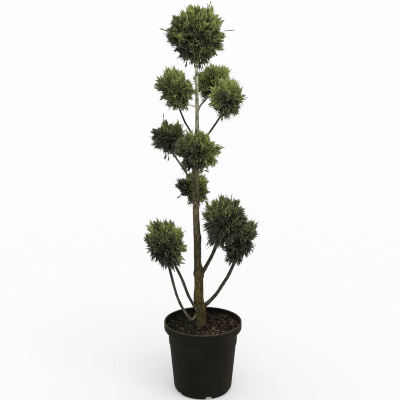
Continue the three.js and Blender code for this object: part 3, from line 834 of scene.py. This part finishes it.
def loose_shoots(ball, shapes, template):
    """The ball's shoots that stand clear of it, added to shapes."""
    points, faces, shares = template
    # The ball's overall step of painted light and shade sets these shoots' greens too.
    slots = green_slots(TONE.loose + ball.light[0] + TONE.loose_along * (shares - TONE.loose_from))
    for root, tip, width in SHOOTS.get(ball.name, []):
        along = np.array(tip) - np.array(root)
        across = unit(np.cross(along, (0.15, 1.0, 0.2)))
        axes = np.stack([across * width * 1.7, unit(np.cross(along, across)) * width * 1.7, along])
        shapes.add(points @ axes + np.array(root), faces, slots)


def heart(ball):
    """The dark inside of a ball: a dark mass of painted shade, set where the deep shadow among the fronds
    falls.
    """
    shape = bmesh.new()
    bmesh.ops.create_icosphere(shape, subdivisions=3, radius=1)
    directions = unit(np.array([v.co[:] for v in shape.verts]))
    faces = np.array([[v.index for v in f.verts] for f in shape.faces])
    shape.free()
    share = GROWTH.heart + 0.07 * field(directions * ball.half[0], 0.014, 3, ball.phase)
    return Shapes().add(ball.world(ball.outline(directions) * share[:, None]), faces)


# Materials


def put(socket, value):
    """Give an input a link from an output, a colour, or another value."""
    if isinstance(value, bpy.types.NodeSocket):
        socket.id_data.links.new(value, socket)
    elif socket.type == "RGBA":
        socket.default_value = (*value, 1)
    else:
        socket.default_value = value


def feed(made, **inputs):
    """A shader node with its inputs given by name."""
    for name, value in inputs.items():
        put(made.inputs[name.replace("_", " ")], value)
    return made


def node(tree, kind, **inputs):
    return feed(tree.nodes.new(f"ShaderNode{kind}"), **inputs)


def new_material(name, color, roughness, specular):
    """A material, its node tree and its shader."""
    material = bpy.data.materials.new(name)
    material.use_nodes = True
    tree = material.node_tree
    shader = tree.nodes["Principled BSDF"]
    feed(shader, Base_Color=color, Roughness=roughness, Specular_IOR_Level=specular)
    return material, tree, shader


def object_place(tree):
    return node(tree, "TexCoord").outputs["Object"]


def attribute(tree, name):
    made = node(tree, "Attribute")
    made.attribute_name = name
    return made


def ranged(value, low, high, to_low=0.0, to_high=1.0):
    """A value taken from one range to another, and held at its ends."""
    ends = {"From_Min": low, "From_Max": high, "To_Min": to_low, "To_Max": to_high}
    return node(value.id_data, "MapRange", Value=value, **ends).outputs[0]


def ramp(factor, stops):
    """A colour ramp over stops of place and colour."""
    made = node(factor.id_data, "ValToRGB", Fac=factor)
    elements = made.color_ramp.elements
    while len(elements) < len(stops):
        elements.new(0.5)
    for element, (place, color) in zip(elements, stops):
        element.position = place
        element.color = (*color, 1)
    return made.outputs["Color"]


def mixed(tree, factor, a, b, blend="MIX"):
    made = node(tree, "Mix")
    made.data_type, made.blend_type = "RGBA", blend
    for number, value in ((0, factor), (6, a), (7, b)):
        put(made.inputs[number], value)
    return made.outputs[2]


def noise_at(place, scale, detail, stretch=(1, 1, 1)):
    """A noise texture over a place, squeezed along each axis."""
    squeezed = node(place.id_data, "Mapping", Vector=place, Scale=stretch).outputs[0]
    return node(place.id_data, "TexNoise", Vector=squeezed, Scale=scale, Detail=detail).outputs["Fac"]


def bumped(shader, height, strength, distance):
    bump = node(height.id_data, "Bump", Height=height, Strength=strength, Distance=distance)
    feed(shader, Normal=bump.outputs[0])


def speckled(name, color, finish, scale, detail, stops, bump=None):
    """A material with fine speckles. Finish is its roughness and specular level, and bump the scale, the
    detail, the strength and the depth of its grain."""
    material, tree, shader = new_material(name, color, *finish)
    place = object_place(tree)
    feed(shader, Base_Color=ramp(noise_at(place, scale, detail), stops))
    if bump:
        bumped(shader, noise_at(place, *bump[:2]), *bump[2:])
    return material


def bark(name, stops):
    """Bark: base colours that change with height, lengthwise streaks, and dark cracks."""
    material, tree, shader = new_material(name, stops[0][1], 0.88, 0.15)
    height = node(tree, "SeparateXYZ", Vector=object_place(tree)).outputs["Z"]
    colour = ramp(ranged(height, TRUNK[0][0], TRUNK[-1][0]), stops)
    grain = attribute(tree, "grain").outputs["Vector"]
    streaks = noise_at(grain, 260.0, 4.0, (1, 1, 0.09))
    patches = noise_at(grain, 70.0, 3.0, (1, 1, 0.35))
    shade = ramp(streaks, [(0.30, (0.52, 0.50, 0.46)), (0.50, (1, 1, 1)), (0.72, (1.55, 1.5, 1.38))])
    blotch = ramp(patches, [(0.35, (0.72, 0.72, 0.70)), (0.62, (1.2, 1.18, 1.15))])
    colour = mixed(tree, 1.0, colour, shade, "MULTIPLY")
    colour = mixed(tree, 0.8, colour, blotch, "MULTIPLY")
    colour = mixed(tree, attribute(tree, "crack").outputs["Fac"], colour, CRACK)
    feed(shader, Base_Color=colour)
    bumped(shader, streaks, 0.55, 0.0008)
    return material


def greens():
    """Plain greens for the fronds, one material each; their steps of lightness carry painted light and
    shade.
    """
    made = []
    for number, color in enumerate([*GREENS, BLUE_GREEN, FRESH_GREEN, DRY]):
        material, _, shader = new_material(f"foliage_{number}", color, 0.62, 0.35)
        feed(shader, Sheen_Weight=0.05)
        made.append(material)
    return made


def shade_material():
    stops = [(0.4, (0.009, 0.0095, 0.0055)), (0.7, (0.026, 0.026, 0.014))]
    grain = (400.0, 2.0, 0.8, 0.002)
    return speckled("foliage_shade", (0.012, 0.013, 0.009), (0.95, 0.1), 150.0, 4.0, stops, grain)


def twig_material():
    stops = [(0.35, (0.028, 0.022, 0.014)), (0.7, (0.10, 0.075, 0.045))]
    return speckled("twig_bark", (0.05, 0.035, 0.02), (0.9, 0.2), 220.0, 3.0, stops)


def soil_material():
    stops = [(0.32, (0.003, 0.003, 0.002)), (0.55, (0.009, 0.007, 0.005)), (0.78, (0.028, 0.020, 0.014))]
    grain = (420.0, 5.0, 0.9, 0.003)
    return speckled("potting_mix", (0.010, 0.007, 0.005), (0.95, 0.06), 420.0, 5.0, stops, grain)


def chip_materials():
    plans = enumerate(CHIP_COLORS)
    return [new_material(f"bark_chip_{number}", color, 0.9, 0.08)[0] for number, color in plans]


def pot_plastic():
    """Black moulded plastic, with dust, stains down the wall on both sides, and a paler lip: a painted
    highlight along the rolled lip, with some wear.
    """
    material, tree, shader = new_material("pot_plastic", (0.007, 0.007, 0.0055), 0.45, 0.05)
    place = object_place(tree)
    apart = node(tree, "SeparateXYZ", Vector=place)
    dust = noise_at(place, 9.0, 5.0)
    streaks = noise_at(place, 55.0, 4.0, (1, 1, 0.05))
    patchy = ramp(streaks, [(0.36, (0.4, 0.4, 0.4)), (0.66, (1, 1, 1))])
    colour = ramp(dust, [(0.35, (0.0060, 0.0062, 0.0042)), (0.72, (0.0110, 0.0106, 0.0070))])
    for (start, end), tint in STAINS:
        strength = node(tree, "Math")
        strength.operation = "MULTIPLY"
        put(strength.inputs[0], ranged(apart.outputs["X"], start, end))
        put(strength.inputs[1], patchy)
        stain = mixed(tree, strength.outputs[0], (0, 0, 0), tint)
        colour = mixed(tree, 1.0, colour, stain, "ADD")
    # A paler band at the top of the rim: a painted highlight along the rolled lip, with some wear.
    lip = ranged(apart.outputs["Z"], POT.height - 0.0045, POT.height - 0.0002)
    lip_highlight_and_wear = mixed(tree, lip, colour, (0.045, 0.039, 0.027))
    feed(shader, Base_Color=lip_highlight_and_wear, Roughness=ranged(dust, 0.0, 1.0, 0.60, 0.80))
    bumped(shader, noise_at(place, 600.0, 2.0), 0.12, 0.0004)
    return material


# Pot and potting mix


def rounded(corners):
    """A profile with each corner (radius, height, fillet) rounded by its fillet."""
    made = [corners[0][:2]]
    for before, (r, z, fillet), after in zip(corners, corners[1:], corners[2:]):
        corner = np.array([r, z])
        back, on = (np.array(p[:2]) - corner for p in (before, after))
        cut = min(fillet, 0.49 * length(back), 0.49 * length(on))
        start, end = corner + unit(back) * cut, corner + unit(on) * cut
        for share in np.linspace(0, 1, 5):
            made.append(start * (1 - share) ** 2 + corner * 2 * share * (1 - share) + end * share**2)
    return np.array([*made, corners[-1][:2]])


def pot_corners():
    """The pot's outline as radius, height and fillet, up the outside and down the inside."""
    foot, body_foot, body_top, neck, collar = POT.foot, POT.body_foot, POT.body_top, POT.neck, POT.collar
    floor, chamfer, neck_foot, top = POT.floor, POT.chamfer, POT.neck_foot, POT.height
    lip, wall = POT.lip, POT.wall
    collar_foot = top - POT.collar_height
    return [
        (0.0, 0.0, 0),
        (foot - 0.010, 0.0, 0.001),
        (foot, 0.0, 0.002),
        (foot + 0.003, 0.004, 0.002),
        (foot + 0.004, 0.0075, 0.002),
        (body_foot, chamfer, 0.006),
        (body_foot + 0.0012, chamfer + 0.010, 0.004),
        (body_top, neck_foot - 0.010, 0.003),
        (body_top + 0.0022, neck_foot - 0.0085, 0.001),
        (neck - 0.0014, neck_foot, 0.002),
        (neck, collar_foot - 0.015, 0.004),
        (collar - 0.0055, collar_foot - 0.0045, 0.005),
        (collar - 0.0006, collar_foot + 0.001, 0.003),
        (collar - 0.0002, collar_foot + 0.010, 0.002),
        (collar, top - lip, 0.003),
        (collar - 0.0008, top, 0.003),
        (collar - lip - 0.0015, top, 0.002),
        (collar - wall - lip, top - lip, 0.002),
        (collar - wall - 0.001, top - 3 * lip, 0.002),
        (collar - wall - 0.002, collar_foot + 0.002, 0.004),
        (neck - wall, collar_foot - 0.011, 0.004),
        (neck - wall - 0.001, neck_foot + 0.002, 0.002),
        (body_top - wall, neck_foot - 0.008, 0.002),
        (body_foot - wall, chamfer + 0.001, 0.004),
        (foot - 0.002, floor, 0.002),
        (0.0, floor, 0),
    ]


def pot_shape():
    """The turned pot, a closed skin of rings, very slightly out of round as a thin wall is."""
    profile = rounded(pot_corners())
    angle = round_angles(POT.segments)
    radius, height = profile[1:-1, :1], profile[1:-1, 1:]
    sag = 0.0005 * np.cos(2 * angle + 0.6) + 0.00025 * np.cos(5 * angle + 2.0)
    radius = radius - np.abs(sag) * smooth_step(0.02, 0.28, height)
    rings = round_points(radius, angle, height)
    return Shapes().add(*skin(rings, (0, 0, profile[0][1]), (0, 0, profile[-1][1])))


def notch_box(number):
    """A cutter for one drain notch at the foot."""
    turn = math.radians(NOTCH.first + 360 / NOTCH.count * number)
    half = NOTCH.width / 2
    ends = (POT.foot - NOTCH.reach, POT.foot + 2 * NOTCH.reach)
    x, y, z = np.array(list(product(ends, (-half, half), (-NOTCH.height, NOTCH.height)))).T
    cos, sin = math.cos(turn), math.sin(turn)
    points = columns(x * cos - y * sin, x * sin + y * cos, z)
    return Shapes().add(points, BOX_FACES).build(f"notch_{number}", [], False)


def make_pot():
    piece = pot_shape().build("pot_moulding", [pot_plastic()], True)
    for number in range(NOTCH.count):
        cutter = notch_box(number)
        cut = piece.modifiers.new("notch", "BOOLEAN")
        cut.operation, cut.solver, cut.object = "DIFFERENCE", "EXACT", cutter
        shown = bpy.context.evaluated_depsgraph_get()
        made = bpy.data.meshes.new_from_object(piece.evaluated_get(shown))
        piece.modifiers.clear()
        piece.data = made
        bpy.data.objects.remove(cutter)
    piece.data.set_sharp_from_angle(angle=math.radians(42))
    keep(piece, "pot")


def soil_height(x, y):
    """The source's uneven top, a little lower so that crumbs and chips have room."""
    trunk_x, trunk_y = TRUNK[0][1], TRUNK[0][2]
    away = np.maximum(np.hypot(x - trunk_x, y - trunk_y) - SOIL.patch, 0)
    lumps = np.sin(61 * x + 1.3) * np.cos(55 * y) + 0.6 * np.sin(130 * x + 110 * y)
    return SOIL.level - 0.0013 + SOIL.lumps * lumps * np.minimum(1, away / 0.03)


def make_soil():
    """The mix's lumpy top and its side, closed beneath."""
    angle = round_angles(SOIL.segments)
    rim = POT.collar - POT.wall - 0.0027
    radius = np.linspace(rim, 0.004, SOIL.rings)[:, None]
    x, y = radius * np.cos(angle), radius * np.sin(angle)
    flat = columns(x, y, 0)
    rough = 0.0024 * field(flat, 0.012, 3, 3.0) + 0.0010 * field(flat, 0.004, 2, 9.0)
    top = columns(x, y, soil_height(x, y) + rough)
    side = flat[:1] + (0, 0, SOIL.side)
    foot = flat[:1] * 0.9 + (0, 0, SOIL.underside)
    rings = np.concatenate([foot, side, top])
    shapes = Shapes().add(*skin(rings, (0, 0, SOIL.underside), (0, 0, top[-1, :, 2].mean())))
    keep(shapes.build("potting_mix_bed", [soil_material()], True), "soil")


def turned(random, count, tilt):
    """Random turns about the vertical, each then tilted."""
    spin, _, way = random.uniform(0, 2 * math.pi, (3, count))
    lean = np.abs(random.normal(0, tilt, count))
    along = round_points(1, spin, 0)
    up = round_points(np.sin(lean), way, np.cos(lean))
    along = unit(along - up * (along * up).sum(axis=1, keepdims=True))
    return np.stack([along, np.cross(up, along), up], axis=1)


def chip_slots(random, x, y):
    """A colour for each chip: redder to the right, paler at the front right, greenish at the left."""
    warm = 0.5 + 4.0 * x - 1.6 * y + random.normal(0, 0.28, len(x)) > 0.45
    paler = smooth_step(0.02, 0.11, -y) * smooth_step(-0.06, 0.02, x)
    pick = random.random(len(x)) ** (1 - 0.82 * paler)
    warm_slot = np.searchsorted([0.30, 0.58, 0.82, 0.94], pick)
    cool_slot = np.array([5, 6, 0, 1])[np.searchsorted([0.48, 0.72, 0.92], pick, side="right")]
    return np.where(warm, warm_slot, cool_slot)


def make_chips():
    """Uneven bark flakes and crumbs, strewn over the mix round the trunk."""
    random = np.random.default_rng(7)
    trunk_x, trunk_y, trunk_width = TRUNK[0][1:]
    kinds = 6
    shapes = Shapes()
    for plan in CHIPS:
        radius = CHIP_RADIUS * np.sqrt(random.random(plan.count))
        angle = random.uniform(0, 2 * math.pi, plan.count)
        x, y = radius * np.cos(angle), radius * np.sin(angle)
        free = np.hypot(x - trunk_x, y - trunk_y) > trunk_width / 2 + 0.004
        size = random.uniform(*plan.sizes, plan.count) * random.uniform(0.6, 1.0, plan.count)
        z = soil_height(x, y) + size * plan.flatness * 0.4 + 0.0006
        places = columns(x, y, z)
        axes = turned(random, plan.count, plan.tilt) * size[:, None, None]
        slots = chip_slots(random, x, y)
        kind = random.integers(kinds, size=plan.count)
        for n in range(kinds):
            corners = BOX * (1, plan.slimness, plan.flatness) * random.uniform(0.55, 1.15, BOX.shape)
            chosen = np.flatnonzero(free & (kind == n))
            flakes = copies(corners, BOX_FACES, axes[chosen], places[chosen])
            shapes.add(*flakes, np.repeat(slots[chosen], len(BOX_FACES)))
    keep(shapes.build("bark_chips", chip_materials(), False), "soil")


# Trunk and boughs


def knot_swell(path, outward):
    """How far knots and collars swell the trunk, and how dark their sunken middles are."""
    height = path[:, 2][:, None]
    angle = np.arctan2(outward[..., 1], outward[..., 0])
    extra, pit = np.zeros(angle.shape), np.zeros(angle.shape)
    for z, azimuth, rise, half, sunk in KNOTS:
        turn = np.cos(angle - math.radians(azimuth))
        along = (height - z) / half
        extra += np.where(turn > 0, rise * np.maximum(turn, 0) ** 6 * np.exp(-along * along), 0)
        if sunk:
            hole = np.maximum(turn, 0) ** 60 * np.exp(-((along * 1.7) ** 2))
            extra -= sunk * hole
            pit = np.maximum(pit, np.clip(1.3 * hole, 0, 1))
    return extra, pit


def make_trunk(material):
    """The trunk, with its flare at the mix, its knots and its dead spurs."""
    foot, tip = TRUNK[0][0], TRUNK[-1][0]
    heights = np.arange(foot - 0.006, tip + 0.004, LIMB.gap)
    path, radii = trunk_at(heights)
    flare = 0.0022 * np.exp(-(((heights - foot) / 0.012) ** 2))
    shapes = Shapes()
    add_limb(shapes, path, radii + flare, LIMB.trunk_sides, 1.0, knot_swell)
    for number, (height, azimuth, reach, diameter) in enumerate(SPURS):
        centre, radius = trunk_at(height)
        way = round_points(1, math.radians(azimuth), 0.18)
        middle = centre + way * (radius + reach / 2) + (0, 0, 0.001)
        path = spline([centre + way * radius * 0.6, middle, centre + way * (radius + reach)], 0.002)
        radii = np.linspace(diameter / 2, diameter / 3.2, len(path))
        add_limb(shapes, path, radii, LIMB.spur_sides, 40.0 + number)
    keep(shapes.build("trunk_wood", [material], True), "trunk")


def make_bough(name, number, material):
    """A bough, with its collar at the trunk and slightly uneven along its length."""
    at_trunk, at_tip = BOUGHS[name][2]
    path = bough_path(name, LIMB.gap)
    along = run_along(path)
    collar = LIMB.swell * np.exp(-((along / (2.6 * at_trunk)) ** 2))
    radii = np.linspace(at_trunk / 2, at_tip / 2, len(path)) * (1 + collar)
    wander = np.sin(along * 90 + number) * np.sin(along * 37 + 2 * number)
    shapes = Shapes()
    add_limb(shapes, path, radii * (1 + LIMB.uneven * wander), LIMB.bough_sides, 11.0 * (number + 1))
    keep(shapes.build(f"{name}_wood", [material], True), name)


def make_limbs():
    make_trunk(bark("bark_trunk", TRUNK_STOPS))
    barks = {kind: bark(f"bark_{kind}", stops) for kind, stops in BOUGH_STOPS.items()}
    for number, name in enumerate(BOUGHS):
        make_bough(name, number, barks[BOUGH_BARKS.get(name, "dark")])


# Foliage


def painted_side_light(ball, facing):
    """Painted light and shade on tufts: steps lighter along each axis, and lighter or darker towards this
    ball's left and right.
    """
    _, left, right = ball.light
    own = np.where(facing[:, 0] < 0, left, right) * smooth_step(0.25, 0.75, np.abs(facing[:, 0]))
    return facing @ PAINTED_SIDE_LIGHT + own


def make_pompons():
    """Each pompon as fronds, leading shoots, twigs and a dark heart of painted shade."""
    random = np.random.default_rng(11)
    templates = [frond(GROWTH.branchlets, random) for _ in range(GROWTH.frond_kinds)]
    leaf_materials, shade, twig_bark = greens(), shade_material(), twig_material()
    for ball in BALLS:
        tufts = ball.spread(int(GROWTH.tufts * ball.area), GROWTH.tuft_jitter)
        rises = ball.random.uniform(*GROWTH.tuft_rise, len(tufts))
        facing = tufts @ ball.turn.T
        # Each tuft's tone: a chance step, plus painted light and shade by the way it faces.
        tone = ball.random.normal(0, TONE.tuft, len(tufts)) + painted_side_light(ball, facing)
        kind = ball.random.random(len(tufts)) + facing @ FRESHER_SIDE
        plan = plan_fronds(ball, tufts, rises)
        fronds = plant(ball, tufts, plan, GROWTH.frond_width, templates, tone, kind)
        plan = plan_leaders(ball, tufts, rises)
        leaders = plant(ball, tufts, plan, GROWTH.leader_width, templates, tone, kind)
        loose_shoots(ball, leaders, templates[0])
        pieces = [("foliage", fronds, leaf_materials, False), ("leaders", leaders, leaf_materials, False),
                  ("twigs", twigs(ball, tufts), [twig_bark], True), ("shade", heart(ball), [shade], True)]
        for label, shapes, materials, smooth in pieces:
            piece = shapes.build(ball.name.replace("pompon", label), materials, smooth)
            keep(piece, ball.name)


# Floor, light and camera


def make_floor():
    """A pale floor out to the horizon, which fills the picture."""
    material, _, shader = new_material("floor", (FLOOR.grey,) * 3, 0.9, 0.1)
    feed(shader, Emission_Color=(1, 1, 1), Emission_Strength=FLOOR.glow)
    corners = np.array([(-1, -1, 0), (1, -1, 0), (1, 1, 0), (-1, 1, 0)]) * FLOOR.half
    floor = Shapes().add(corners, np.array([(0, 1, 2), (0, 2, 3)]))
    floor.build("floor", [material], False)


def make_light():
    """An even white studio, brightest overhead, and one broad soft light from above and in front."""
    world = bpy.data.worlds.new("studio")
    world.use_nodes = True
    tree = world.node_tree
    way = node(tree, "TexCoord").outputs["Generated"]
    upward = node(tree, "SeparateXYZ", Vector=way).outputs["Z"]
    glow = ramp(upward, [(0.03, (0.99, 0.99, 0.99)), (1.0, (1, 1, 1))])
    strength = ranged(upward, 0.03, 1.0, LIGHT.horizon, LIGHT.overhead)
    feed(tree.nodes["Background"], Color=glow, Strength=strength)
    scene.world = world
    light = bpy.data.lights.new("softbox", "SUN")
    light.energy, light.angle = LIGHT.broad, math.radians(LIGHT.spread)
    lamp = place_object("softbox", light)
    lamp.rotation_euler = Vector(LIGHT.source).to_track_quat("Z", "Y").to_euler()


def make_camera():
    data = bpy.data.cameras.new("camera")
    data.sensor_fit, data.sensor_width = "HORIZONTAL", CAMERA.sensor
    data.lens = CAMERA.focal * CAMERA.sensor / CAMERA.image
    camera = place_object("camera", data)
    camera.location = CAMERA.place
    camera.rotation_euler = (math.radians(90 - CAMERA.down), 0, 0)
    scene.camera = camera


make_camera()
make_floor()
make_light()
make_pot()
make_soil()
make_chips()
make_limbs()
make_pompons()

# Plain colours, and a pixel a little sharper than usual so that fronds and chips stay crisp.
scene.view_settings.view_transform = "Standard"
scene.cycles.use_denoising = False
scene.cycles.filter_width = 1.1
